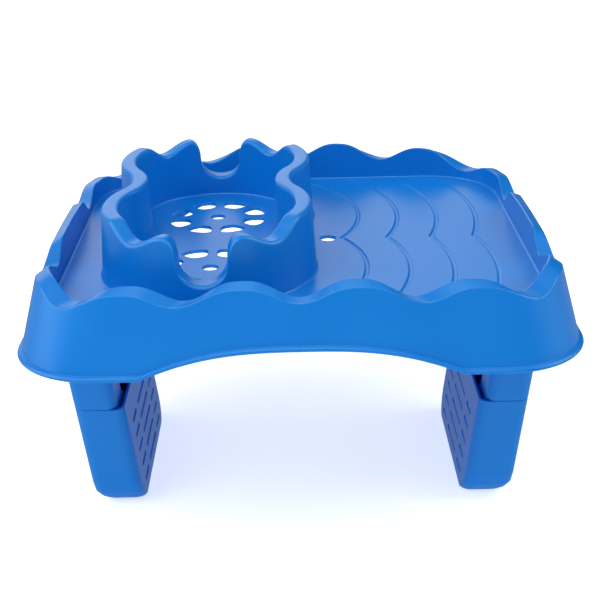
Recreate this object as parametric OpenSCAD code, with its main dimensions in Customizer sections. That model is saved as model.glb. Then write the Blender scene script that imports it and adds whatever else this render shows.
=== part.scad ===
// Tray that straddles the wall of a hot tub: one moulded top with a two-lobed cup holder
// and a double-skinned wavy rim, carried by two legs that lean outwards.
// X runs along the long side, Y from front to back, Z up. The soles stand on z = 0.

/* [Tray] */
// Length of the tray over the bead at its bottom edge
tray_len = 441; // [421:2:501]
// Depth of the tray over the bead at its bottom edge
tray_depth = 411; // [395:2:470]
// Radius of the corners, at the bottom edge, the rim and the floor
corner_r = 67; // [60:1:80]
// Thickness of the moulded skins
wall = 2.4; // [2:0.1:2.8]
// Thickness of the floor
floor_t = 3; // [2.4:0.1:3.6]
// Distance from the bottom edge in to the foot of the inner wall
floor_inset = 27.2; // [25:0.2:34]
// Radius of the fillets round the floor
fillet_r = 3; // [2:0.5:5]

/* [Rim] */
// Drop of the skirt below the floor
skirt_drop = 36; // [28:1:44]
// How much lower the skirt reaches at the back
back_drop = 9; // [0:1:12]
// Lean of the skirt, as run over rise
skirt_lean = 0.25; // [0.2:0.01:0.27]
// Height of the crests in the middle of the front above the floor
crest_h = 32.8; // [27:0.2:37]
// Extra height of the crests in the middle of the back
back_rise = 4; // [0:0.5:6]
// Depth from crest to trough of the rim's waves
wave_depth = 14; // [6:0.5:15]
// Fall of the crests from the middle of the front to its corners
front_fall = 6.5; // [0:0.5:8]
// Fall of the crests from the middle of the back to its corners
back_fall = 20; // [0:0.5:21]
// Extra height of the crests in the middle of the sides
side_rise = 5; // [0:0.5:6]
// Number of waves along the front, from corner crest to corner crest
front_waves = 5; // [3:2:7]
// Number of waves along each side, from corner crest to corner crest
side_waves = 2; // [2:2:4]
// Where the corner crest stands on the corner's arc, in degrees from the front
corner_crest = 71; // [55:1:80]
// Width of the rim's top at a crest
rim_band = 5.2; // [5:0.1:6.4]
// Radius of the rim's two top edges
rim_edge = 1.8; // [1.4:0.1:2.4]
// How far the bead stands out from the skirt
bead_out = 2.4; // [1.6:0.2:3.2]
// Height of the bead
bead_h = 4; // [3:0.5:6]
// Rise of the arch in the front and back skirts
arch_rise = 19; // [8:1:24]
// Half the width of the arch
arch_half = 121; // [90:1:130]
// Fullness of the arch, where 2 is a parabola
arch_power = 2.8; // [2:0.1:4]

/* [Cup holder] */
// Floor left free between the cup holder and the rim beside it
cup_gap = 30; // [24:0.5:34]
// Distance of each lobe's centre from the tray's middle line
lobe_y = 65.5; // [58:0.5:70]
// Inner radius of a lobe at the top
lobe_r = 71.3; // [66:0.1:76]
// Width of the cup holder's wall at the top
cup_band = 13.5; // [12:0.5:15]
// Half the width between the two waists, to the middle of the wall
waist_half = 61.3; // [56:0.1:66]
// Height of the crests above the floor
cup_h = 57; // [50:1:72]
// Height of the dips between the crests and the shoulders
dip_h = 47.5; // [40:0.5:54]
// Height of the shoulders beside the notches
shoulder_h = 54; // [48:0.5:57]
// Height of the bottom of the two finger notches
notch_h = 17.5; // [13:0.5:30]
// Half the angle between a notch's shoulders
notch_turn = 21; // [18:0.5:24]
// Half the angle between a notch's upright sides
notch_side = 14; // [10:0.5:15]
// Share of the radial taper that the notch's sides keep, where 0 makes them parallel
notch_taper = 0.3; // [0:0.05:1]
// Height of the round bottom of a notch
notch_round = 17; // [10:0.5:20]
// Lean of the outer skin, as run over rise
cup_draft = 0.095; // [0.05:0.005:0.12]
// Radius of the wall's two top edges
cup_edge = 2.8; // [2:0.1:4]

/* [Drains and ripples] */
// Number of petals round each drain
petals = 8; // [6:1:10]
// Inner radius of the petals
petal_in = 26.5; // [22:0.5:28]
// Outer radius of the petals
petal_out = 45; // [40:0.5:50]
// Width of the spokes between the petals
spoke_w = 7.8; // [4:0.2:9]
// Diameter of the hole in the middle of each ring
hub_d = 13.5; // [10:0.5:20]
// Diameter of the drain hole in the open floor
drain_d = 14.5; // [8:0.5:18]
// Floor between the cup holder's waist and that hole's middle
drain_gap = 26; // [23:0.5:29]
// Number of ripples in the open floor
ripples = 4; // [2:1:4]
// Radius of the first ripple round a lobe's centre
ripple_r = 129.5; // [124:0.5:133]
// Distance from ripple to ripple
ripple_step = 35.6; // [30:0.1:37]
// Width of a ripple
ripple_w = 3.8; // [2:0.1:4.4]
// Depth of a ripple
ripple_depth = 1.1; // [0.5:0.1:1.2]

/* [Legs] */
// Distance from the tray's ends in to the legs' plates
leg_margin = 14; // [12:0.5:20]
// Width of a foot across the tub wall
foot_w = 42.4; // [38:0.2:44]
// Depth of a foot from front to back
foot_depth = 177; // [160:1:200]
// Height of a foot from sole to seam
foot_h = 96.4; // [80:0.2:110]
// Lean of the legs from the vertical, in degrees
leg_lean = 7.2; // [4:0.2:8]
// Radius of a foot's upright edges
foot_edge = 9; // [6:0.5:12]
// Thickness of a foot's walls
foot_wall = 2.8; // [2.2:0.1:3.4]
// Radius of the sole's front and back edges
sole_end_r = 24; // [14:1:30]
// Radius of the sole's outer edge
sole_out_r = 18; // [8:1:20]
// Radius of the sole's inner edge
sole_in_r = 3; // [3:0.5:8]
// Height of the posts between the seam and the bracket's plate
post_h = 100.6; // [90:0.2:130]
// Width of a post across the tub wall
post_w = 36.6; // [30:0.2:38]
// Depth of a post from front to back
post_depth = 44; // [36:1:50]
// Thickness of the posts and the web between them
post_wall = 2.6; // [2:0.1:3.2]
// How far a post's spigot reaches down into the foot
spigot_h = 26; // [18:1:34]
// Clearance between a spigot and the foot
spigot_gap = 0.3; // [0.2:0.05:0.5]
// Diameter of the bead that clips a spigot into the foot
clip_d = 1.8; // [1.2:0.1:2.4]

/* [Grip] */
// Rows of slots in the face towards the tub wall
grip_rows = 5; // [3:1:6]
// Height of the lowest row above the sole
grip_base = 12.8; // [10:0.2:15]
// Distance from row to row along the face
grip_step = 14.6; // [13:0.1:15]
// Length of the slots in the middle
grip_mid = 51.5; // [40:0.5:56]
// Length of the slots at the ends
grip_end = 24.5; // [18:0.5:28]
// Land between slots in a row
grip_land = 11; // [7:0.5:14]
// Width of a slot
grip_w = 3.4; // [2.4:0.1:4.4]
// Depth of a slot
grip_depth = 1.5; // [1:0.1:1.8]

/* [Fastening] */
// Thickness of the bracket's plate
plate_t = 3; // [2.4:0.1:4]
// Height of the bosses under the floor
boss_h = 12; // [10:0.5:16]
// Diameter of the bosses
boss_d = 10; // [8.5:0.5:12]
// Diameter of the screws' shanks
screw_d = 3.4; // [3:0.1:4]
// Diameter of the screws' heads
head_d = 7.2; // [6.4:0.1:8]
// Height of the screws' heads
head_h = 2.4; // [2:0.1:3]
// Length of the screws under the head
screw_len = 13; // [10:0.5:13]

/* [Hidden] */

blue = "#1b77d0";
steel = "#b9bec4";

lean = tan(leg_lean);
plate_z = foot_h + post_h;
plate_lip = 0.6;
leg_x = tray_len / 2 - leg_margin - plate_lip - lean * plate_z - foot_w / 2;
boss_z = plate_z + plate_t;
under_z = boss_z + boss_h;
floor_z = under_z + floor_t;
rim_z = floor_z - skirt_drop;
front_z = floor_z + crest_h;
back_z = front_z + back_rise;

quarters = [0, 1, 2, 3];
straight_steps = 16;
corner_steps = 10;
side_steps = 10;
notch_steps = 10;
lobe_steps = 20;
waist_steps = 5;
// How deep the wall sections end inside the floor, clear of both its faces
root = floor_t / 2;
root_edge = 0.3;
// How far cuts run past the faces they open
cut = 1;
// Material between a rounded top and the hollow under it
cap_skin = 0.8;
// Points of a fillet from wall to floor, as shares of its radius outwards and upwards
fillet_steps = [[0, 1], [0.3, 0.3], [1.15, -0.1]];
fillet_foot = 1.15 * fillet_r;
// Points of the bead from its bottom upwards, as shares of how far it stands out and of its height
bead_steps = [[0.4, 0], [0, 0.3], [0, 0.7], [0.4, 1]];
bead_gap = 0.6;
// Evenness of the crests' fall, where 1 is a straight line
fall_power = 1.9;

// Shared helpers

// Closed band from sections that run round a ring, each with the same number of points
module band(sections) {
    count = len(sections);
    per = len(sections[0]);
    points = [for (s = sections) for (p = s) p];
    faces = [for (i = [0:count - 1]) for (j = [0:per - 1])
        let (a = i * per + j, b = i * per + (j + 1) % per,
             c = ((i + 1) % count) * per + (j + 1) % per, d = ((i + 1) % count) * per + j)
        for (f = [[a, b, c], [a, c, d]]) f];
    polyhedron(points, faces, convexity = 10);
}

// Solid from rings stacked upwards, closed at both ends
module loft(rings) {
    count = len(rings);
    per = len(rings[0]);
    points = [for (r = rings) for (p = r) p];
    sides = [for (i = [0:count - 2]) for (j = [0:per - 1])
        let (a = i * per + j, b = i * per + (j + 1) % per)
        for (f = [[a, a + per, b + per], [a, b + per, b]]) f];
    lower = [for (j = [0:per - 1]) j];
    upper = [for (j = [per - 1:-1:0]) (count - 1) * per + j];
    polyhedron(points, concat([lower, upper], sides), convexity = 6);
}

// Places along a quarter of a ring, from the steps in each of its stretches
function stretch(steps) = [for (i = [0:len(steps) - 1]) for (k = [0:steps[i] - 1]) i + k / steps[i]];

// Places round a whole ring: [quarter, place], each quarter mirrored from its neighbour
function stations(steps) = [for (q = quarters)
    each (q % 2 == 0 ? [for (f = stretch(steps)) [q, f]]
                     : [for (f = stretch([for (i = [len(steps) - 1:-1:0]) steps[i]])) [q, len(steps) - f]])];

// A point of the first quarter, front centre to right centre, turned into its own quarter
function mirrored(q, p) = [(q < 2 ? 1 : -1) * p[0], (q == 0 || q == 3 ? 1 : -1) * p[1]];

function bite(z, r) = z >= r ? 0 : r - sqrt(r * r - (r - z) * (r - z));
function pull(v, power) = sign(v) * pow(abs(v), power);
function ease(t) = (1 - cos(180 * t)) / 2;
function mix(a, b, t) = a + (b - a) * t;

// Rim of the tray

function corner_point(a, b, r, f) =
    f <= 1 ? [(a - r) * f, -b]
    : f <= 2 ? [a - r + r * sin(90 * (f - 1)), -b + r - r * cos(90 * (f - 1))]
    : [a, -(b - r) * (3 - f)];

function tray_point(station, inset, r, z) =
    let (p = mirrored(station[0], corner_point(tray_len / 2 - inset, tray_depth / 2 - inset, r, station[1])))
    [p[0], p[1], z];

function skirt_inset(z) = bead_out + skirt_lean * max(0, z - rim_z);
top_inset = skirt_inset(back_z) + rim_band;
function inner_inset(z) = mix(floor_inset, top_inset, (z - floor_z) / (back_z - floor_z));

// Distance along the rim's top from the front centre
wave_front = tray_len / 2 - top_inset - corner_r;
wave_side = tray_depth / 2 - top_inset - corner_r;
function along(f) =
    f <= 1 ? wave_front * f
    : f <= 2 ? wave_front + corner_r * (f - 1) * PI / 2
    : wave_front + corner_r * PI / 2 + wave_side * (f - 2);
crest_at = along(1 + corner_crest / 90);

// Height of the line through the crests, which falls to the corners and runs straight along the sides
function crest_line(front, s) =
    let (high = front ? front_z : back_z, fall = front ? front_fall : back_fall,
         middle = (front_z - front_fall + back_z - back_fall) / 2 + side_rise)
    s < crest_at ? high - fall * pow(s / crest_at, fall_power)
    : mix(high - fall, middle, (s - crest_at) / (along(3) - crest_at));

function wave_phase(s) =
    s < crest_at ? front_waves / 2 * s / crest_at
    : front_waves / 2 + side_waves / 2 * (s - crest_at) / (along(3) - crest_at);
function rim_top(station) =
    let (s = along(station[1]), front = station[0] == 0 || station[0] == 3)
    crest_line(front, s) - wave_depth * (1 + cos(360 * wave_phase(s))) / 2;

// How far back a place on the rim lies, from 0 along the front to 1 along the back
function backwards(station) =
    let (half = tray_depth / 2 - corner_r,
         y = tray_point(station, 0, corner_r, 0)[1])
    min(1, max(0, (y + half) / (2 * half)));

function arch_at(x, rise) = abs(x) < arch_half ? rise * (1 - pow(abs(x) / arch_half, arch_power)) : 0;
function rim_bottom(station) =
    let (drop = back_drop * backwards(station), f = station[1])
    rim_z - drop + (f < 1 ? arch_at((tray_len / 2 - corner_r) * f, arch_rise + drop) : 0);

// Section through skirt, rounded top, inner wall and the hollow between them
function rim_section(station) =
    let (low = rim_bottom(station), top = rim_top(station), cap = top - rim_edge,
         hollow = cap - cap_skin, root_z = floor_z - root)
    concat(
        [for (p = bead_steps) let (z = low + p[1] * bead_h)
            tray_point(station, skirt_inset(z) - (1 - p[0]) * bead_out, corner_r, z)],
        [let (z = low + bead_h + bead_gap) tray_point(station, skirt_inset(z), corner_r, z)],
        [for (turn = [180, 135, 90])
            tray_point(station, skirt_inset(cap) + rim_edge * (1 + cos(turn)), corner_r,
                       cap + rim_edge * sin(turn))],
        [for (turn = [90, 45, 0])
            tray_point(station, inner_inset(cap) - rim_edge * (1 - cos(turn)), corner_r,
                       cap + rim_edge * sin(turn))],
        [for (p = fillet_steps) let (z = floor_z + p[1] * fillet_r, out = p[0] * fillet_r)
            tray_point(station, inner_inset(z) + out, corner_r - out, z)],
        [tray_point(station, floor_inset + fillet_foot, corner_r - fillet_foot, root_z),
         tray_point(station, floor_inset - wall + root_edge, corner_r + wall - root_edge, root_z),
         tray_point(station, inner_inset(hollow) - wall, corner_r + wall, hollow),
         tray_point(station, skirt_inset(hollow) + wall, corner_r - wall, hollow),
         tray_point(station, skirt_inset(low) + wall, corner_r - wall, low)]);

rim_stations = stations([straight_steps, corner_steps, side_steps]);

module rim_wall() {
    band([for (s = rim_stations) rim_section(s)]);
}

// Cup holder

mid_r = lobe_r + cup_band / 2;
waist_drop = mid_r - waist_half;
waist_x = (lobe_y * lobe_y - waist_drop * waist_drop) / (2 * waist_drop);
centre_gap = norm([waist_x, lobe_y]);
waist_turn = atan(lobe_y / waist_x);
lobe_turn = 90 + waist_turn;

// Half of a lobe, then half of a waist, at the lobe radius r
function cup_turn(f) =
    f <= 0.5 ? notch_side * sin(180 * f)
    : f <= 1 ? notch_turn - (notch_turn - notch_side) * cos(180 * f - 90)
    : mix(notch_turn, lobe_turn, f - 1);
// Angle at the radius r, so that the notch's sides taper less than the radii beside them
function turn_at(r, f) =
    let (taper = mix(notch_taper, 1, ease(max(0, 2 * f - 1))))
    f < 1 ? asin(mix(mid_r, r, taper) / r * sin(cup_turn(f))) : cup_turn(f);
function cup_curve(r, f) =
    f <= 2 ? [r * sin(turn_at(r, f)), -lobe_y - r * cos(turn_at(r, f))]
    : let (turn = waist_turn * (3 - f)) [waist_x - (centre_gap - r) * cos(turn), -(centre_gap - r) * sin(turn)];
function cup_point(station, r, z) =
    let (p = mirrored(station[0], cup_curve(r, station[1]))) [p[0] - cup_x, p[1], z];

function outer_r(h) = lobe_r + cup_band + cup_draft * (cup_h - h);
cup_x = tray_len / 2 - floor_inset - cup_gap - outer_r(0);
drain_x = waist_half + outer_r(0) - mid_r + drain_gap - cup_x;
function inside_r(h) = lobe_r - cup_draft / 4 * (cup_h - h);

dip_turn = 2 * notch_turn;
crest_turn = 3 * notch_turn;
function cup_top(f) =
    let (turn = f <= 2 ? cup_turn(f) : lobe_turn, middle = notch_h + notch_round)
    f <= 0.5 ? notch_h + notch_round * (1 - cos(180 * f))
    : f <= 1 ? mix(middle, shoulder_h, sin(180 * f - 90))
    : turn < dip_turn ? mix(shoulder_h, dip_h, ease((turn - notch_turn) / (dip_turn - notch_turn)))
    : turn < crest_turn ? mix(dip_h, cup_h, ease((turn - dip_turn) / (crest_turn - dip_turn)))
    : cup_h;

function cup_section(station) =
    let (top = cup_top(station[1]), cap = top - cup_edge, hollow = cap - cap_skin)
    concat(
        [for (k = [2, 1, 0]) let (p = fillet_steps[k])
            cup_point(station, outer_r(p[1] * fillet_r) + p[0] * fillet_r, floor_z + p[1] * fillet_r)],
        [for (turn = [0, 45, 90])
            cup_point(station, outer_r(cap) - cup_edge * (1 - cos(turn)), floor_z + cap + cup_edge * sin(turn))],
        [for (turn = [90, 45, 0])
            cup_point(station, inside_r(cap) + cup_edge * (1 - cos(turn)), floor_z + cap + cup_edge * sin(turn))],
        [for (p = fillet_steps)
            cup_point(station, inside_r(p[1] * fillet_r) - p[0] * fillet_r, floor_z + p[1] * fillet_r)],
        [cup_point(station, inside_r(0) - fillet_foot, floor_z - root),
         cup_point(station, inside_r(0) + wall - root_edge, floor_z - root),
         cup_point(station, inside_r(hollow) + wall, floor_z + hollow),
         cup_point(station, outer_r(hollow) - wall, floor_z + hollow),
         cup_point(station, outer_r(0) - wall + root_edge, floor_z - root),
         cup_point(station, outer_r(0) + fillet_foot, floor_z - root)]);

cup_stations = stations([notch_steps, lobe_steps, waist_steps]);

module cup_wall() {
    band([for (s = cup_stations) cup_section(s)]);
}

function flat(points) = [for (p = points) [p[0], p[1]]];
function cup_outline(r) = flat([for (s = cup_stations) cup_point(s, r, 0)]);
function tray_outline(inset, r) = flat([for (s = rim_stations) tray_point(s, inset, r, 0)]);

// Floor, open under the hollow wall of the cup holder
module floor_plate() {
    translate([0, 0, under_z]) linear_extrude(floor_t) {
        difference() {
            polygon(tray_outline(floor_inset - wall, corner_r + wall));
            polygon(cup_outline(outer_r(0) - wall));
        }
        polygon(cup_outline(inside_r(0) + wall));
    }
}

// Squareness of the petals, where 1 is an ellipse
petal_power = 0.6;
function petal_outline(turn) = [for (t = [0:15:345])
    let (r = (petal_in + petal_out) / 2 + (petal_out - petal_in) / 2 * pull(cos(t), petal_power),
         a = turn + (180 / petals - asin(spoke_w / 2 / r)) * pull(sin(t), petal_power))
    [r * cos(a), r * sin(a)]];

module drains() {
    translate([0, 0, under_z - cut]) linear_extrude(floor_t + 2 * cut) {
        for (side = [-1, 1]) translate([-cup_x, side * lobe_y]) {
            circle(d = hub_d, $fn = 48);
            for (k = [0:petals - 1]) polygon(petal_outline(360 / petals * (k + 0.5)));
        }
        translate([drain_x, 0]) circle(d = drain_d, $fn = 48);
    }
}

// Shallow arcs round the two lobes, which meet in a cusp on the middle line
module ripple_cuts() {
    reach = ripple_r + ripple_step * ripples;
    translate([0, 0, floor_z - ripple_depth]) linear_extrude(ripple_depth + cut)
        for (side = [-1, 1]) intersection() {
            translate([-cup_x, side * lobe_y]) for (k = [0:ripples - 1]) difference() {
                circle(r = ripple_r + ripple_step * k + ripple_w / 2, $fn = 180);
                circle(r = ripple_r + ripple_step * k - ripple_w / 2, $fn = 180);
            }
            translate([0, side > 0 ? 0 : -reach]) square(reach);
            polygon(tray_outline(floor_inset + 2 * fillet_r, corner_r - 2 * fillet_r));
        }
}

// Fastening of the legs

// Places of a leg's screws: a wide pair near the post and a close pair on the plate's tongue
screw_margin = 23.5;
screw_run = 26;
wide_half = 30;
close_half = 14;
screw_out = leg_x + lean * plate_z + foot_w / 2 - screw_margin;
screw_in = screw_out - screw_run;
screw_places = [[screw_out, wide_half], [screw_out, -wide_half],
                [screw_in, close_half], [screw_in, -close_half]];
pilot_gap = 0.1;
gusset_t = 1.6;
gusset_low = 0.4 * boss_h;

module boss() {
    top = boss_h + root;
    cylinder(d = boss_d, h = top, $fn = 40);
    for (turn = [0:90:270]) rotate([90, 0, turn]) translate([0, 0, -gusset_t / 2]) linear_extrude(gusset_t)
        polygon([[0, gusset_low], [boss_d / 2, gusset_low], [boss_d, top], [0, top]]);
}

module at_screws() {
    for (side = [-1, 1]) for (p = screw_places) translate([side * p[0], p[1], 0]) children();
}

module tray() color(blue) difference() {
    union() {
        floor_plate();
        rim_wall();
        cup_wall();
        at_screws() translate([0, 0, boss_z]) boss();
    }
    drains();
    ripple_cuts();
    at_screws() translate([0, 0, boss_z - cut]) cylinder(d = screw_d + pilot_gap, h = boss_h, $fn = 32);
}

// Legs, drawn for the right side and mirrored for the left

foot_outer = leg_x + foot_w / 2;
foot_inner = leg_x - foot_w / 2;

// Rounded rectangle at height z, leaning outwards with the leg
function leg_ring(x0, x1, y0, y1, r, z) = [for (c = [[x1, y0, 270], [x1, y1, 0], [x0, y1, 90], [x0, y0, 180]])
    for (t = [0:18:90])
        let (sx = c[0] == x1 ? -1 : 1, sy = c[1] == y1 ? -1 : 1)
        [c[0] + sx * r + r * cos(c[2] + t) + lean * z, c[1] + sy * r + r * sin(c[2] + t), z]];

// The foot's outline drawn in by a margin, with the sole's edges rounded
function foot_ring(z, margin, base) =
    let (h = z - base, end = foot_depth / 2 - margin - bite(h, sole_end_r - margin))
    leg_ring(foot_inner + margin + bite(h, sole_in_r - margin),
             foot_outer - margin - bite(h, sole_out_r - margin), -end, end, foot_edge - margin, z);

sole_levels = [0, 0.02, 0.08, 0.18, 0.34, 0.6, 1];

module foot_body() {
    loft(concat([for (k = sole_levels) foot_ring(k * sole_end_r, 0, 0)], [foot_ring(foot_h, 0, 0)]));
}

module foot_hollow() {
    deep = sole_end_r - foot_wall;
    loft(concat([for (k = sole_levels) foot_ring(foot_wall + k * deep, foot_wall, foot_wall)],
                [foot_ring(foot_h + cut, foot_wall, foot_wall)]));
}

module slot(length) {
    square([length - grip_w, grip_w], center = true);
    for (side = [-1, 1]) translate([side * (length - grip_w) / 2, 0]) circle(d = grip_w, $fn = 24);
}

grip_shift = grip_mid / 2 + grip_land + grip_end / 2;

// Rows of slots sunk into the face towards the tub wall
module grip_slots() {
    for (row = [0:grip_rows - 1]) translate([foot_inner, 0, 0]) rotate([0, leg_lean, 0])
        translate([grip_depth, 0, grip_base + row * grip_step]) rotate([90, 0, -90])
            linear_extrude(grip_depth + cut) {
                slot(grip_mid);
                for (side = [-1, 1]) translate([side * grip_shift, 0]) slot(grip_end);
            }
}

clip_z = foot_h - spigot_h / 2;
clip_y = foot_depth / 2 - foot_wall - spigot_gap;
clip_len = post_w / 2;
clip_gap = 0.3;

module clips(grow) {
    for (side = [-1, 1]) translate([foot_outer - post_w / 2 + lean * clip_z, side * clip_y, clip_z])
        rotate([0, 90, 0]) cylinder(d = clip_d + grow, h = clip_len + grow, center = true, $fn = 32);
}

rib_t = 2;
rib_y = foot_depth / 7;
rib_top = foot_h * 0.55;

module foot_ribs() {
    for (side = [-1, 1]) intersection() {
        translate([0, side * rib_y - rib_t / 2, foot_wall / 2]) cube([2 * leg_x, rib_t, rib_top]);
        loft([foot_ring(foot_wall / 2, foot_wall / 2, 0), foot_ring(sole_end_r, foot_wall / 2, 0),
              foot_ring(foot_h, foot_wall / 2, 0)]);
    }
}

module right_foot() {
    difference() {
        foot_body();
        foot_hollow();
        grip_slots();
        clips(clip_gap);
    }
    foot_ribs();
}

// The two posts from z0 to z1, drawn in by a margin on the foot's faces and by another on their own
post_edge = 1.2;
module posts(z0, z1, margin, free) {
    end = foot_depth / 2 - margin;
    start = foot_depth / 2 - post_depth + free;
    for (side = [-1, 1]) loft([for (z = [z0, z1])
        leg_ring(foot_outer - post_w + free, foot_outer - margin,
                 side < 0 ? -end : start, side < 0 ? -start : end, max(foot_edge - margin, post_edge), z)]);
}

// Web that joins the posts along their outer faces, a little thinner than they are
web_edge = 0.4;
web_t = post_wall - 0.2;
module web() {
    end = foot_depth / 2 - post_depth / 2;
    loft([for (z = [foot_h, plate_z + plate_t / 2])
        leg_ring(foot_outer - web_t, foot_outer, -end, end, web_edge, z)]);
}

// Plate over the posts, with a lip round them and a tongue towards the tray's middle
plate_over = 2;
plate_skin = 0.4;
plate_edge = foot_edge + plate_lip;
plate_out = foot_outer + lean * plate_z + plate_lip;
plate_half = foot_depth / 2 + plate_lip;
tongue_r = 8;
tongue_half = 22;
tongue_reach = screw_run + 2;

module plate() {
    left = foot_outer + lean * plate_z - post_w - plate_over;
    translate([0, 0, plate_z]) linear_extrude(plate_t) {
        translate([left, plate_edge - plate_half]) square([plate_out - left, 2 * (plate_half - plate_edge)]);
        translate([left, -plate_half]) square([plate_out - left - plate_edge, 2 * plate_half]);
        for (side = [-1, 1]) {
            translate([plate_out - plate_edge, side * (plate_half - plate_edge)])
                circle(r = plate_edge, $fn = 48);
            translate([screw_in, side * close_half]) circle(r = tongue_r, $fn = 48);
        }
        translate([screw_in - tongue_r, -close_half]) square([tongue_r + tongue_reach, 2 * close_half]);
        translate([screw_in, -tongue_half]) square([tongue_reach, 2 * tongue_half]);
    }
}

hole_gap = 0.4;
spigot_wall = 2;
spigot_in = foot_wall + spigot_gap;

module right_bracket() {
    difference() {
        union() {
            posts(foot_h, plate_z + plate_t / 2, 0, 0);
            posts(foot_h - spigot_h, foot_h + cut, spigot_in, 0);
            clips(0);
            web();
            plate();
        }
        posts(foot_h - spigot_h - cut, foot_h + 2 * cut + post_wall, spigot_in + spigot_wall, post_wall);
        posts(foot_h + cut + post_wall, plate_z - plate_skin, post_wall, post_wall);
        for (p = screw_places) translate([p[0], p[1], plate_z - cut])
            cylinder(d = screw_d + hole_gap, h = plate_t + 2 * cut, $fn = 32);
    }
}

module right_screws() {
    for (p = screw_places) translate([p[0], p[1], plate_z - head_h]) {
        cylinder(d = head_d, h = head_h, $fn = 40);
        cylinder(d = screw_d, h = head_h + screw_len, $fn = 32);
    }
}

module to_left() mirror([1, 0, 0]) children();

module left_leg_bracket() color(blue) to_left() right_bracket();
module right_leg_bracket() color(blue) right_bracket();
module left_grip_foot() color(blue) to_left() right_foot();
module right_grip_foot() color(blue) right_foot();
module left_leg_screws() color(steel) to_left() right_screws();
module right_leg_screws() color(steel) right_screws();

tray();
left_leg_bracket();
right_leg_bracket();
left_grip_foot();
right_grip_foot();
left_leg_screws();
right_leg_screws();
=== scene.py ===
"""Looks of a hot tub tray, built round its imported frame.

The tray's moulding is made here again with finer curves than the frame's. Most of its sizes are
those of the part's source, and a few lie closer to the photograph.
Sizes are in millimetres up to the point where a mesh is made.
"""

from math import asin, atan, cos, degrees, hypot, pi, radians, sin, sqrt

import bmesh
import bpy
from mathutils import Matrix, Vector
from mathutils.geometry import delaunay_2d_cdt


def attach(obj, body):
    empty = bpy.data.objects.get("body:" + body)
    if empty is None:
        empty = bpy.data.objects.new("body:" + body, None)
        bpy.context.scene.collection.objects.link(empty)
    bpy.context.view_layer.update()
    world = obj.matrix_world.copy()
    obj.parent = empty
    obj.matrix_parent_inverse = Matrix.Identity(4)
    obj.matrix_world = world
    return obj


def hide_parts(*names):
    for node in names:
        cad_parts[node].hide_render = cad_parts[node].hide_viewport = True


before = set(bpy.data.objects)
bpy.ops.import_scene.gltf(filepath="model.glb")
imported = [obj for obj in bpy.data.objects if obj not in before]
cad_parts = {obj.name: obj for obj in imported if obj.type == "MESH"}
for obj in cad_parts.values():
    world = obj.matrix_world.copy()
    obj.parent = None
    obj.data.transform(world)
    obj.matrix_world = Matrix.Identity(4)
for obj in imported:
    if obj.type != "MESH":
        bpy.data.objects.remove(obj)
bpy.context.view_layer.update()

MM = 0.001
ROOT = "root"

# Sizes of the tray
FLOOR_Z = 215.0
FLOOR_T = 3.0
UNDER_Z = FLOOR_Z - FLOOR_T
TRAY_LEN = 441.0
TRAY_DEPTH = 411.0
CORNER_R = 67.0
WALL = 2.4
FLOOR_INSET = 27.2
FILLET_R = 2.0

RIM_Z = FLOOR_Z - 36.0
BACK_DROP = 9.0
FRONT_Z = FLOOR_Z + 32.8
BACK_Z = FRONT_Z + 4.0
FRONT_FALL = 6.5
BACK_FALL = 20.0
SIDE_RISE = 3.5
FALL_POWER = 1.9
WAVE_DEPTH = 14.0
# Above 1 the crests are flatter than the troughs
CREST_POWER = 1.35
FRONT_WAVES = 5
# On the way from a corner's crest to the side's middle: where the trough lies and where the flat
# crest starts
SIDE_TROUGH = 0.4
SIDE_FLAT = 0.66
CORNER_CREST = 71.0
SKIRT_LEAN = 0.25
RIM_BAND = 5.2
RIM_EDGE = 1.2
# The rim's top slopes outwards by this much at a crest and at a trough, and meets the skirt in a
# crisp line. The line's rounding: (inset, rise) of its points, and its end on the skirt.
CREST_FALL = 4.6
TROUGH_FALL = 1.6
BAND_EDGE = ((0.7, 0.5), (0.15, -0.1))
BAND_LINE = 0.7
CAP_SKIN = 0.8
BEAD_OUT = 2.4
BEAD_H = 4.0
BEAD_ROUND = 0.85
BEAD_GAP = 0.6
ARCH_RISE = 19.0
ARCH_HALF = 121.0
ARCH_POWER = 2.8

LOBE_Y = 65.5
LOBE_R = 71.3
CUP_BAND = 13.5
WAIST_HALF = 61.3
CUP_GAP = 32.1
DRAIN_GAP = 28.1
CUP_H = 57.0
DIP_H = 44.5
SHOULDER_H = 54.0
NOTCH_H = 17.5
NOTCH_ROUND = 17.0
NOTCH_TURN = 21.0
NOTCH_SIDE = 14.0
NOTCH_TAPER = 0.3
CUP_DRAFT = 0.058
CUP_EDGE = 3.6

PETALS = 8
PETAL_IN = 26.5
PETAL_OUT = 45.0
PETAL_POWER = 0.65
SPOKE_W = 7.8
HUB_D = 13.5
DRAIN_D = 14.5
HOLE_EDGE = 0.35

RIPPLES = 4
RIPPLE_R = 129.5
RIPPLE_STEP = 35.6
RIPPLE_W = 4.4
RIPPLE_DEPTH = 1.2
# A ripple runs out over one part in this many of its length
RIPPLE_FADE = 9

# Screw bosses: places on the right side, sizes, and how far they reach into the floor
BOSSES = ((182.4, 30.0), (182.4, -30.0), (156.4, 14.0), (156.4, -14.0))
BOSS_R = 5.0
BOSS_H = 12.0
BOSS_EDGE = 0.4
BOSS_SUNK = 1.0
PILOT_R = 1.75
GUSSET_IN = 4.5
GUSSET_OUT = 10.0
GUSSET_LOW = 4.8
GUSSET_T = 1.6

# Steps in the round edges, and how far from them a row of points steadies the shading
FILLET_STEPS = 6
RIM_STEPS = 8
BEAD_STEPS = 8
CUP_STEPS = 6
LIP_STEPS = 4
STEADY = 1.0

# Points closer than this are one, and edges shorter than this go
SAME_POINT = 0.002
SLIVER = 0.001


def mix(a, b, t):
    return a + (b - a) * t


def ease(t):
    return (1 - cos(pi * t)) / 2


def arc(start, end, steps):
    """Angles in radians from start to end degrees, both ends included."""
    return [radians(mix(start, end, k / steps)) for k in range(steps + 1)]


def link(thing):
    bpy.context.scene.collection.objects.link(thing)


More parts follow.
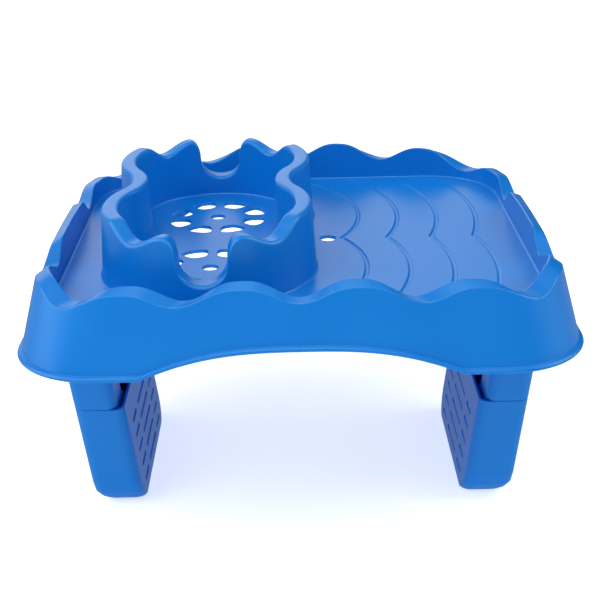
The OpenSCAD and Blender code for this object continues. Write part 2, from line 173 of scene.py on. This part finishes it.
# Forms: points and faces in millimetres, welded into one mesh


class Form:
    """Points and faces of one piece."""

    def __init__(self):
        self.points, self.faces = [], []

    def skin(self, rows, closed=True):
        """Quads between neighbouring rows of as many points; closed joins each row's ends."""
        base, per = len(self.points), len(rows[0])
        for row in rows:
            self.points += row
        for i in range(len(rows) - 1):
            for j in range(per if closed else per - 1):
                a, b = base + i * per + j, base + i * per + (j + 1) % per
                self.faces.append((a, b, b + per, a + per))

    def cap(self, loop):
        base = len(self.points)
        self.points += loop
        self.faces.append(tuple(range(base, base + len(loop))))

    def sheet(self, outer, holes, place):
        """Flat face between loops of 2-D points; place turns one of them into a point in space."""
        loops = [outer, *holes]
        flat = [Vector(p) for loop in loops for p in loop]
        rings, start = [], 0
        for loop in loops:
            rings.append(list(range(start, start + len(loop))))
            start += len(loop)
        # Triangles inside the loops, with the loops each lies in: those in the outer one alone stay
        made, _, faces, _, _, of_loop = delaunay_2d_cdt(flat, [], rings, 1, 1e-6, True)
        base = len(self.points)
        self.points += [place(p.x, p.y) for p in made]
        self.faces += [tuple(base + k for k in f) for f, src in zip(faces, of_loop) if src == [0]]

    def piece(self, name, material, sharp=34):
        """Mesh object of the form, welded, facing outwards, with sharp edges kept."""
        mesh = bpy.data.meshes.new(name)
        mesh.from_pydata([Vector(p) * MM for p in self.points], [], self.faces)
        work = bmesh.new()
        work.from_mesh(mesh)
        bmesh.ops.remove_doubles(work, verts=work.verts, dist=SAME_POINT * MM)
        bmesh.ops.dissolve_degenerate(work, edges=work.edges, dist=SLIVER * MM)
        bmesh.ops.recalc_face_normals(work, faces=work.faces)
        work.to_mesh(mesh)
        work.free()
        mesh.shade_smooth()
        mesh.set_sharp_from_angle(angle=radians(sharp))
        made = bpy.data.objects.new(name, mesh)
        link(made)
        mesh.materials.append(material)
        weights = made.modifiers.new("even_shading", "WEIGHTED_NORMAL")
        weights.keep_sharp = True
        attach(made, ROOT)
        return made


# Rim of the tray


def mirrored(q, x, y):
    """A point of the first quarter, front centre to right centre, turned into its own quarter."""
    return (x if q < 2 else -x), (y if q in (0, 3) else -y)


def stations(steps):
    """Places round a ring as (quarter, place), from the steps in each stretch of a quarter."""
    near = [i + k / n for i, n in enumerate(steps) for k in range(n)]
    far = [i + k / n for i, n in enumerate(reversed(steps)) for k in range(n)]
    places = []
    for q in range(4):
        forth = q % 2 == 0
        places += [(q, f if forth else len(steps) - f) for f in (near if forth else far)]
    return places


def tray_point(station, inset, r, z):
    q, f = station
    a, b = TRAY_LEN / 2 - inset, TRAY_DEPTH / 2 - inset
    if f <= 1:
        x, y = (a - r) * f, -b
    elif f <= 2:
        turn = pi / 2 * (f - 1)
        x, y = a - r + r * sin(turn), -b + r - r * cos(turn)
    else:
        x, y = a, -(b - r) * (3 - f)
    return (*mirrored(q, x, y), z)


def skirt_inset(z):
    return BEAD_OUT + SKIRT_LEAN * max(0, z - RIM_Z)


TOP_INSET = skirt_inset(BACK_Z) + RIM_BAND
WAVE_FRONT = TRAY_LEN / 2 - TOP_INSET - CORNER_R
WAVE_SIDE = TRAY_DEPTH / 2 - TOP_INSET - CORNER_R


def inner_inset(z):
    return mix(FLOOR_INSET, TOP_INSET, (z - FLOOR_Z) / (BACK_Z - FLOOR_Z))


def along(f):
    """Distance along the rim's top from the front centre."""
    corner = CORNER_R * pi / 2
    return WAVE_FRONT * min(f, 1) + corner * min(max(f - 1, 0), 1) + WAVE_SIDE * max(f - 2, 0)


CREST_AT = along(1 + CORNER_CREST / 90)


def wave(station):
    """Height of the rim, whose crests fall to the corners, and its share of the way to a crest."""
    q, f = station
    s = along(f)
    high, fall = (FRONT_Z, FRONT_FALL) if q in (0, 3) else (BACK_Z, BACK_FALL)
    middle = (FRONT_Z - FRONT_FALL + BACK_Z - BACK_FALL) / 2 + SIDE_RISE
    if s < CREST_AT:
        line = high - fall * (s / CREST_AT) ** FALL_POWER
        phase = FRONT_WAVES / 2 * s / CREST_AT
    else:
        t = (s - CREST_AT) / (along(3) - CREST_AT)
        line = mix(high - fall, middle, t)
        down, up = t / SIDE_TROUGH, (t - SIDE_TROUGH) / (SIDE_FLAT - SIDE_TROUGH)
        phase = FRONT_WAVES / 2 + (min(down, 1) + min(max(up, 0), 1)) / 2
    crest = 1 - ((1 + cos(2 * pi * phase)) / 2) ** CREST_POWER
    return line - WAVE_DEPTH * (1 - crest), crest


def rim_bottom(station):
    """Height of the skirt's bottom edge, which sinks to the back and arches over the tub wall."""
    half = TRAY_DEPTH / 2 - CORNER_R
    y = tray_point(station, 0, CORNER_R, 0)[1]
    drop = BACK_DROP * min(1, max(0, (y + half) / (2 * half)))
    x = (TRAY_LEN / 2 - CORNER_R) * station[1]
    if x >= ARCH_HALF:
        return RIM_Z - drop
    return RIM_Z - drop + (ARCH_RISE + drop) * (1 - (x / ARCH_HALF) ** ARCH_POWER)


def rim_section(station):
    """From the floor up the inner wall, over the top, down the skirt, round the bead and back."""
    low, (top, crest) = rim_bottom(station), wave(station)
    cap = top - RIM_EDGE
    line = top - mix(TROUGH_FALL, CREST_FALL, crest)
    slope = degrees(atan((top - line) / (inner_inset(cap) - skirt_inset(line))))

    def at(inset, r, z):
        return tray_point(station, inset, r, z)

    section = []
    for t in arc(0, 90, FILLET_STEPS):
        out, z = FILLET_R * (1 - sin(t)), FLOOR_Z + FILLET_R * (1 - cos(t))
        section.append(at(inner_inset(z) + out, CORNER_R - out, z))
    section.append(at(inner_inset(cap - STEADY), CORNER_R, cap - STEADY))
    for t in arc(0, 90 + slope, RIM_STEPS):
        inset, z = inner_inset(cap) - RIM_EDGE * (1 - cos(t)), cap + RIM_EDGE * sin(t)
        section.append(at(inset, CORNER_R, z))
    for inset, rise in BAND_EDGE:
        section.append(at(skirt_inset(line) + inset, CORNER_R, line + rise))
    for z in (line - BAND_LINE, low + BEAD_H + BEAD_GAP + STEADY, low + BEAD_H + BEAD_GAP):
        section.append(at(skirt_inset(z), CORNER_R, z))
    for k in range(BEAD_STEPS, -1, -1):
        share = k / BEAD_STEPS
        z = low + share * BEAD_H
        out = BEAD_OUT * sqrt(1 - (2 * share - 1) ** 2 * BEAD_ROUND)
        section.append(at(skirt_inset(z) - out, CORNER_R, z))
    return section + [
        at(skirt_inset(low) + WALL, CORNER_R - WALL, low),
        at(skirt_inset(line) + WALL, CORNER_R, line - WALL),
        at(inner_inset(cap) - WALL, CORNER_R, cap - WALL),
        at(FLOOR_INSET - WALL, CORNER_R + WALL, UNDER_Z),
    ]


# Steps in half of the front, a corner and half of a side
RIM_STATIONS = stations([48, 30, 36])


# Cup holder

MID_R = LOBE_R + CUP_BAND / 2
WAIST_DROP = MID_R - WAIST_HALF
WAIST_X = (LOBE_Y**2 - WAIST_DROP**2) / (2 * WAIST_DROP)
CENTRE_GAP = hypot(WAIST_X, LOBE_Y)
WAIST_TURN = degrees(atan(LOBE_Y / WAIST_X))
LOBE_TURN = 90 + WAIST_TURN
DIP_TURN = 2 * NOTCH_TURN
CREST_TURN = 3 * NOTCH_TURN


def outer_r(h):
    return LOBE_R + CUP_BAND + CUP_DRAFT * (CUP_H - h)


def inside_r(h):
    return LOBE_R - CUP_DRAFT / 2 * (CUP_H - h)


CUP_X = TRAY_LEN / 2 - FLOOR_INSET - CUP_GAP - outer_r(0)
DRAIN_X = WAIST_HALF + outer_r(0) - MID_R + DRAIN_GAP - CUP_X


def cup_turn(f):
    if f <= 0.5:
        return NOTCH_SIDE * sin(pi * f)
    if f <= 1:
        return NOTCH_TURN - (NOTCH_TURN - NOTCH_SIDE) * sin(pi * f)
    return mix(NOTCH_TURN, LOBE_TURN, f - 1)


def turn_at(r, f):
    """Angle in radians at the radius r: the notch's sides taper less than the radii beside them."""
    turn = radians(cup_turn(f))
    if f >= 1:
        return turn
    return asin(mix(MID_R, r, mix(NOTCH_TAPER, 1, ease(max(0, 2 * f - 1)))) / r * sin(turn))


def cup_point(station, r, z):
    """Half of a lobe, then half of a waist, at the lobe radius r."""
    q, f = station
    if f <= 2:
        turn = turn_at(r, f)
        x, y = r * sin(turn), -LOBE_Y - r * cos(turn)
    else:
        turn = radians(WAIST_TURN * (3 - f))
        x, y = WAIST_X - (CENTRE_GAP - r) * cos(turn), -(CENTRE_GAP - r) * sin(turn)
    x, y = mirrored(q, x, y)
    return x - CUP_X, y, z


def cup_top(f):
    """Height of the cup holder's wall above the floor, with its notches, shoulders and dips."""
    if f <= 0.5:
        return NOTCH_H + NOTCH_ROUND * (1 - cos(pi * f))
    if f <= 1:
        return mix(NOTCH_H + NOTCH_ROUND, SHOULDER_H, -cos(pi * f))
    turn = cup_turn(f) if f <= 2 else LOBE_TURN
    if turn < DIP_TURN:
        return mix(SHOULDER_H, DIP_H, ease((turn - NOTCH_TURN) / (DIP_TURN - NOTCH_TURN)))
    if turn < CREST_TURN:
        return mix(DIP_H, CUP_H, ease((turn - DIP_TURN) / (CREST_TURN - DIP_TURN)))
    return CUP_H


def cup_section(station):
    """From the floor outside, over the top, to the floor inside."""
    cap = cup_top(station[1]) - CUP_EDGE

    def at(r, h):
        return cup_point(station, r, FLOOR_Z + h)

    section = []
    for t in arc(0, 90, FILLET_STEPS):
        out, h = FILLET_R * (1 - sin(t)), FILLET_R * (1 - cos(t))
        section.append(at(outer_r(h) + out, h))
    section.append(at(outer_r(cap - STEADY), cap - STEADY))
    for t in arc(0, 90, CUP_STEPS):
        section.append(at(outer_r(cap) - CUP_EDGE * (1 - cos(t)), cap + CUP_EDGE * sin(t)))
    for t in arc(90, 0, CUP_STEPS):
        section.append(at(inside_r(cap) + CUP_EDGE * (1 - cos(t)), cap + CUP_EDGE * sin(t)))
    section.append(at(inside_r(cap - STEADY), cap - STEADY))
    for t in arc(90, 0, FILLET_STEPS):
        out, h = FILLET_R * (1 - sin(t)), FILLET_R * (1 - cos(t))
        section.append(at(inside_r(h) - out, h))
    return section


def cup_hollow(station):
    """Inside of the double wall, open underneath."""
    hollow = cup_top(station[1]) - CUP_EDGE - CAP_SKIN
    return [
        cup_point(station, outer_r(0) - WALL, UNDER_Z),
        cup_point(station, outer_r(hollow) - WALL, FLOOR_Z + hollow),
        cup_point(station, inside_r(hollow) + WALL, FLOOR_Z + hollow),
        cup_point(station, inside_r(0) + WALL, UNDER_Z),
    ]


# Steps in half of a notch, the rest of the lobe and half of a waist
CUP_STATIONS = stations([32, 60, 14])


# Floor: petals, drain hole and ripples


def flat(points):
    return [(p[0], p[1]) for p in points]


def grown(loop, by):
    """A loop that runs anticlockwise, moved outwards."""
    moved = []
    for k, (x, y) in enumerate(loop):
        (x0, y0), (x1, y1) = loop[k - 1], loop[(k + 1) % len(loop)]
        length = hypot(x1 - x0, y1 - y0)
        moved.append((x + (y1 - y0) / length * by, y - (x1 - x0) / length * by))
    return moved


def ring(x, y, r, count=48):
    turns = [2 * pi * k / count for k in range(count)]
    return [(x + r * cos(t), y + r * sin(t)) for t in turns]


def petal(x, y, turn, count=48):
    """Rounded petal between two spokes."""
    loop = []
    for k in range(count):
        t = 2 * pi * k / count
        c, s = cos(t), sin(t)
        across = (1 if c >= 0 else -1) * abs(c) ** PETAL_POWER
        sideways = (1 if s >= 0 else -1) * abs(s) ** PETAL_POWER
        r = (PETAL_IN + PETAL_OUT) / 2 + (PETAL_OUT - PETAL_IN) / 2 * across
        a = turn + (pi / PETALS - asin(SPOKE_W / 2 / r)) * sideways
        loop.append((x + r * cos(a), y + r * sin(a)))
    return loop


def drill(form, loop):
    """Walls of a hole through the floor with round lips; gives its loops on top and underneath."""
    rows = []
    for t in arc(0, 90, LIP_STEPS):
        z = FLOOR_Z - HOLE_EDGE * (1 - cos(t))
        rows.append([(x, y, z) for x, y in grown(loop, HOLE_EDGE * (1 - sin(t)))])
    rows.append([(x, y, UNDER_Z) for x, y in loop])
    form.skin(rows)
    return flat(rows[0]), flat(rows[-1])


def in_floor(x, y, inset):
    """True inside the floor's rounded outline, drawn in by inset."""
    r = CORNER_R - (inset - FLOOR_INSET)
    dx = abs(x) - (TRAY_LEN / 2 - inset - r)
    dy = abs(y) - (TRAY_DEPTH / 2 - inset - r)
    return max(dx, dy) < r and not (dx > 0 and dy > 0 and hypot(dx, dy) > r)


def ripple(form, r):
    """Groove in two arcs round the lobes' centres, which meet in a cusp on the middle line."""
    across, steps, back = 8, 72, 0.002
    end = asin(min(1, (TRAY_DEPTH / 2 - LOBE_Y) / r))
    while not in_floor(-CUP_X + r * cos(end), LOBE_Y + r * sin(end), FLOOR_INSET + 2 * FILLET_R):
        end -= back
    rows = []
    for i in range(steps + 1):
        row = []
        fade = min(1, (1 - i / steps) * RIPPLE_FADE)
        for j in range(across + 1):
            off = (j / across - 0.5) * RIPPLE_W
            here = r + off
            turn = mix(asin(-LOBE_Y / here), end, i / steps)
            depth = RIPPLE_DEPTH * fade * (1 - (2 * off / RIPPLE_W) ** 2)
            row.append((-CUP_X + here * cos(turn), LOBE_Y + here * sin(turn), FLOOR_Z - depth))
        rows.append(row)
    front = [[(x, -y, z) for x, y, z in row] for row in rows]
    both = front[::-1] + rows[1:]
    form.skin(both, closed=False)
    outer = [row[-1] for row in both]
    inner = [row[0] for row in both]
    return flat(outer + both[-1][-2:0:-1] + inner[::-1] + both[0][1:-1])


def top_place(x, y):
    return x, y, FLOOR_Z


def under_place(x, y):
    return x, y, UNDER_Z


def gusset_point(x, y, turn, out, aside, z):
    """A point of the gusset that runs from the boss at x, y in the direction turn."""
    c, s = cos(turn), sin(turn)
    return x + c * out - s * aside, y + s * out + c * aside, z


def screw_bosses(form):
    """Bosses under the floor for the legs' screws, each with four gussets."""
    low, head = UNDER_Z - BOSS_H, UNDER_Z + BOSS_SUNK
    rings = ((BOSS_R, head), (BOSS_R, low + BOSS_EDGE), (BOSS_R - BOSS_EDGE, low), (PILOT_R, low),
             (PILOT_R, head))
    foot = low + GUSSET_LOW
    gusset = ((GUSSET_IN, foot), (BOSS_R, foot), (GUSSET_OUT, head), (GUSSET_IN, head))
    for x, y in [(side * x, y) for side in (-1, 1) for x, y in BOSSES]:
        form.skin([[(px, py, z) for px, py in ring(x, y, r)] for r, z in rings])
        for turn in (0, pi / 2, pi, 3 * pi / 2):
            faces = [[gusset_point(x, y, turn, out, aside, z) for out, z in gusset]
                     for aside in (-GUSSET_T / 2, GUSSET_T / 2)]
            for face in faces:
                form.cap(face)
            # The edge between the two faces: along the foot and up the slope
            form.skin([list(pair) for pair in zip(*faces)][:3], closed=False)


def moulded_tray(material):
    form = Form()
    rim = [rim_section(s) for s in RIM_STATIONS]
    cup = [cup_section(s) for s in CUP_STATIONS]
    hollow = [cup_hollow(s) for s in CUP_STATIONS]
    for sections in (rim, cup, hollow):
        form.skin([list(row) for row in zip(*sections)])
    tops, unders = [], []
    for side in (-1, 1):
        x, y = -CUP_X, side * LOBE_Y
        petals = [petal(x, y, 2 * pi / PETALS * (k + 0.5)) for k in range(PETALS)]
        for loop in [ring(x, y, HUB_D / 2), *petals]:
            top, under = drill(form, loop)
            tops.append(top)
            unders.append(under)
    drain_top, drain_under = drill(form, ring(DRAIN_X, 0, DRAIN_D / 2))
    grooves = [ripple(form, RIPPLE_R + RIPPLE_STEP * k) for k in range(RIPPLES)]

    def loop_of(sections, k):
        return flat([section[k] for section in sections])

    form.sheet(loop_of(rim, 0), [loop_of(cup, 0), drain_top, *grooves], top_place)
    form.sheet(loop_of(cup, -1), tops, top_place)
    form.sheet(loop_of(rim, -1), [loop_of(hollow, 0), drain_under], under_place)
    form.sheet(loop_of(hollow, -1), unders, under_place)
    screw_bosses(form)
    return form.piece("tray_moulding", material)


# Materials

# Sizes of the finishes' patterns in millimetres. The mould's grain and the scratches are really
# finer and are drawn this coarse so that they show.
FLOW_PATCH = 60.0
SINK_WAVE = 45.0
MOULD_GRAIN = 0.8
TUMBLE_SCRATCH = 0.6


def linear(hex_colour):
    """Linear RGBA of an sRGB hex colour."""
    parts = [int(hex_colour[k:k + 2], 16) / 255 for k in (1, 3, 5)]
    return (*[c / 12.92 if c <= 0.04045 else ((c + 0.055) / 1.055) ** 2.4 for c in parts], 1.0)


def add_node(tree, kind, settings=None, links=None):
    """Node with its settings, and its inputs linked from other nodes' outputs."""
    made = tree.nodes.new(kind)
    for key, value in (settings or {}).items():
        if isinstance(key, str) and hasattr(made, key) and key not in made.inputs:
            setattr(made, key, value)
        else:
            made.inputs[key].default_value = value
    for key, source in (links or {}).items():
        tree.links.new(source, made.inputs[key])
    return made


def new_material(name):
    made = bpy.data.materials.new(name)
    made.use_nodes = True
    made.node_tree.nodes.clear()
    return made, made.node_tree


def moulded_polypropylene():
    """Injection-moulded polypropylene, dyed through: satin, with faint flow and a fine grain."""
    made, tree = new_material("moulded_polypropylene_blue")
    place = add_node(tree, "ShaderNodeTexCoord").outputs["Object"]
    # Flow of the melt: patches that differ a shade
    flow = add_node(tree, "ShaderNodeTexNoise",
                    {"Scale": 1 / (FLOW_PATCH * MM), "Detail": 2.0, "Roughness": 0.4},
                    {"Vector": place}).outputs["Fac"]
    colour = add_node(tree, "ShaderNodeMix", {"data_type": "RGBA"}, {0: flow})
    colour.inputs[6].default_value = linear("#0474ce")
    colour.inputs[7].default_value = linear("#067ad4")
    rough = add_node(tree, "ShaderNodeMapRange", {"To Min": 0.26, "To Max": 0.34}, {"Value": flow})
    # Sink of the skin as it cooled: long shallow waves
    sink = add_node(tree, "ShaderNodeTexNoise",
                    {"Scale": 1 / (SINK_WAVE * MM), "Detail": 1.0}, {"Vector": place})
    wavy = add_node(tree, "ShaderNodeBump", {"Strength": 0.12, "Distance": 0.6 * MM},
                    {"Height": sink.outputs["Fac"]})
    # Grain of the spark-eroded mould
    grain = add_node(tree, "ShaderNodeTexNoise",
                     {"Scale": 1 / (MOULD_GRAIN * MM), "Detail": 2.0}, {"Vector": place})
    fine = add_node(tree, "ShaderNodeBump", {"Strength": 0.10, "Distance": 0.03 * MM},
                    {"Height": grain.outputs["Fac"], "Normal": wavy.outputs["Normal"]})
    shader = add_node(tree, "ShaderNodeBsdfPrincipled",
                      {"IOR": 1.49, "Specular IOR Level": 0.5,
                       "Specular Tint": (0.66, 1.0, 0.85, 1.0)},
                      {"Base Color": colour.outputs[2], "Roughness": rough.outputs["Result"],
                       "Normal": fine.outputs["Normal"]})
    add_node(tree, "ShaderNodeOutputMaterial", None, {"Surface": shader.outputs["BSDF"]})
    return made


def zinc_plated_steel():
    """Zinc-plated steel: bright grey metal with a slight blue cast and fine tumbled scratches."""
    made, tree = new_material("zinc_plated_steel")
    place = add_node(tree, "ShaderNodeTexCoord").outputs["Object"]
    scratch = add_node(tree, "ShaderNodeTexNoise",
                       {"Scale": 1 / (TUMBLE_SCRATCH * MM), "Detail": 3.0},
                       {"Vector": place}).outputs["Fac"]
    rough = add_node(tree, "ShaderNodeMapRange", {"To Min": 0.28, "To Max": 0.42},
                     {"Value": scratch})
    colour = add_node(tree, "ShaderNodeMix", {"data_type": "RGBA"}, {0: scratch})
    colour.inputs[6].default_value = linear("#aeb4bb")
    colour.inputs[7].default_value = linear("#c4cad0")
    shader = add_node(tree, "ShaderNodeBsdfPrincipled", {"Metallic": 1.0},
                      {"Base Color": colour.outputs[2], "Roughness": rough.outputs["Result"]})
    add_node(tree, "ShaderNodeOutputMaterial", None, {"Surface": shader.outputs["BSDF"]})
    return made


# Round edges of the legs in millimetres, where faces meet at more than an angle in degrees
LEG_EDGE = 0.7
EDGE_ANGLE = 40
EDGE_SEGMENTS = 2
# Before that, points this close in millimetres are joined, and faces this close in degrees
JOIN_GAP = 0.005
PLAIN_ANGLE = 1


def give(node, material, edge=0):
    """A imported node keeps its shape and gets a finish, and round edges of the radius edge."""
    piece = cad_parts[node]
    piece.data.materials.clear()
    piece.data.materials.append(material)
    if edge:
        weld = piece.modifiers.new("joined_faces", "WELD")
        weld.merge_threshold = JOIN_GAP * MM
        plain = piece.modifiers.new("plain_faces", "DECIMATE")
        plain.decimate_type = "DISSOLVE"
        plain.angle_limit = radians(PLAIN_ANGLE)
        worn = piece.modifiers.new("moulded_edges", "BEVEL")
        worn.width = edge * MM
        worn.segments = EDGE_SEGMENTS
        worn.limit_method = "ANGLE"
        worn.angle_limit = radians(EDGE_ANGLE)
        worn.use_clamp_overlap = False
        worn.harden_normals = True


# Stage

WHITE = linear("#ffffff")
# Strength of the white paper as it is seen, in the gloss and as it throws light back
PAPER_GLOW = 0.6
PAPER_GLOSS = 0.3
PAPER_BOUNCE = 0.5
PAPER_HALF = 6000.0
PAPER_LOW = 0.2
# Strength of the room's even light and of the room as it is seen
GLOW = 0.46
ROOM_SEEN = 1.0
# The room in the gloss: way of each bright patch, cosine of its edge, strength
ROOM = (
    ((-0.22, 0.93, 0.3), 0.8, 1.15),
    ((0.0, 0.6, 0.8), 0.77, 0.25),
    ((0.0, -0.1, 0.995), 0.77, 0.5),
    ((-0.93, 0.0, 0.37), 0.77, 2.2),
    ((0.93, 0.0, 0.37), 0.77, 0.9),
    ((0.0, -0.74, 0.67), 0.92, 3.0),
)
# Soft boxes: name, place in metres, size in metres, watts. They face a point in the tray.
LAMPS = (
    ("left_front_box", (-1.255, -1.053, 1.347), 1.2, 9.0),
    ("left_box", (-1.414, 0.0, 1.614), 1.2, 8.0),
    ("right_box", (1.532, 0.0, 1.486), 1.2, 12.0),
    ("top_box", (0.0, -0.07, 2.199), 1.8, 2.5),
    ("front_top_box", (-0.25, -0.85, 2.0), 1.4, 8.5),
)
AIM = (0.0, 0.0, 0.2)


def paper_sweep():
    """White paper under the tray."""
    made, tree = new_material("white_paper_sweep")
    ray = add_node(tree, "ShaderNodeLightPath")
    paper = add_node(tree, "ShaderNodeBsdfDiffuse", {"Color": linear("#f4f5f6")})
    strength = add_node(tree, "ShaderNodeMapRange",
                        {"To Min": PAPER_BOUNCE, "To Max": PAPER_GLOW},
                        {"Value": ray.outputs["Is Camera Ray"]})
    glow = add_node(tree, "ShaderNodeEmission", {"Color": WHITE},
                    {"Strength": strength.outputs["Result"]})
    lit = add_node(tree, "ShaderNodeAddShader", None,
                   {0: paper.outputs["BSDF"], 1: glow.outputs["Emission"]})
    gloss = add_node(tree, "ShaderNodeEmission", {"Color": WHITE, "Strength": PAPER_GLOSS})
    both = add_node(tree, "ShaderNodeMixShader", None,
                    {"Fac": ray.outputs["Is Glossy Ray"], 1: lit.outputs["Shader"],
                     2: gloss.outputs["Emission"]})
    add_node(tree, "ShaderNodeOutputMaterial", None, {"Surface": both.outputs["Shader"]})
    mesh = bpy.data.meshes.new("floor")
    half = PAPER_HALF * MM
    corners = [(-half, -half, 0), (half, -half, 0), (half, half, 0), (-half, half, 0)]
    mesh.from_pydata(corners, [], [(0, 1, 2, 3)])
    mesh.materials.append(made)
    floor = bpy.data.objects.new("floor", mesh)
    floor.location.z = -PAPER_LOW * MM
    link(floor)


def white_room():
    """Even light all round, and bright patches where the gloss sees the room."""
    world = bpy.data.worlds.new("white_room")
    bpy.context.scene.world = world
    world.use_nodes = True
    tree = world.node_tree
    tree.nodes.clear()
    ray = add_node(tree, "ShaderNodeLightPath")
    way = add_node(tree, "ShaderNodeTexCoord").outputs["Generated"]
    level = add_node(tree, "ShaderNodeValue").outputs["Value"]
    level.default_value = 0
    for direction, edge, strength in ROOM:
        facing = add_node(tree, "ShaderNodeVectorMath",
                          {"operation": "DOT_PRODUCT", 1: direction}, {0: way})
        patch = add_node(tree, "ShaderNodeMapRange",
                         {"interpolation_type": "SMOOTHSTEP", "From Min": edge,
                          "From Max": 1.0, "To Max": strength},
                         {"Value": facing.outputs["Value"]})
        level = add_node(tree, "ShaderNodeMath", {"operation": "ADD"},
                         {0: level, 1: patch.outputs["Result"]}).outputs["Value"]
    patches = add_node(tree, "ShaderNodeBackground", {"Color": WHITE}, {"Strength": level})
    even = add_node(tree, "ShaderNodeBackground", {"Color": WHITE, "Strength": GLOW})
    room = add_node(tree, "ShaderNodeMixShader", None,
                    {"Fac": ray.outputs["Is Glossy Ray"], 1: even.outputs["Background"],
                     2: patches.outputs["Background"]})
    seen = add_node(tree, "ShaderNodeBackground", {"Color": WHITE, "Strength": ROOM_SEEN})
    both = add_node(tree, "ShaderNodeMixShader", None,
                    {"Fac": ray.outputs["Is Camera Ray"], 1: room.outputs["Shader"],
                     2: seen.outputs["Background"]})
    add_node(tree, "ShaderNodeOutputWorld", None, {"Surface": both.outputs["Shader"]})


def soft_box(name, place, size, power):
    """Square lamp that faces the tray."""
    light = bpy.data.lights.new(name, "AREA")
    light.shape = "SQUARE"
    light.size = size
    light.energy = power
    made = bpy.data.objects.new(name, light)
    made.location = place
    made.rotation_mode = "QUATERNION"
    made.rotation_quaternion = (Vector(AIM) - Vector(place)).to_track_quat("-Z", "Y")
    link(made)


def camera():
    """Camera at the photograph's place: 22.5 degrees down, a touch rolled."""
    yaw, pitch, roll = radians(0.23), radians(22.48), radians(-1.22)
    place = Vector((-3.3, -1004.3, 572.4)) * MM
    focal_px, frame_px, sensor = 1215.0, 600.0, 36.0
    forward = Vector((sin(yaw) * cos(pitch), cos(yaw) * cos(pitch), -sin(pitch)))
    right = Vector((cos(yaw), -sin(yaw), 0))
    up = right.cross(forward)
    side = cos(roll) * right + sin(roll) * up
    top = -sin(roll) * right + cos(roll) * up
    data = bpy.data.cameras.new("camera")
    data.sensor_width = sensor
    data.lens = focal_px / frame_px * sensor
    data.clip_end = 50
    made = bpy.data.objects.new("camera", data)
    made.matrix_world = Matrix((
        (side.x, top.x, -forward.x, place.x),
        (side.y, top.y, -forward.y, place.y),
        (side.z, top.z, -forward.z, place.z),
        (0, 0, 0, 1),
    ))
    link(made)
    bpy.context.scene.camera = made


camera()
paper_sweep()
white_room()
for name, place, size, power in LAMPS:
    soft_box(name, place, size, power)

plastic = moulded_polypropylene()
steel = zinc_plated_steel()

tray = moulded_tray(plastic)
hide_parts("tray")
for name in ("left_leg_bracket", "right_leg_bracket", "left_grip_foot", "right_grip_foot"):
    give(name, plastic, LEG_EDGE)
for name in ("left_leg_screws", "right_leg_screws"):
    give(name, steel)

bpy.context.scene.view_settings.view_transform = "Standard"
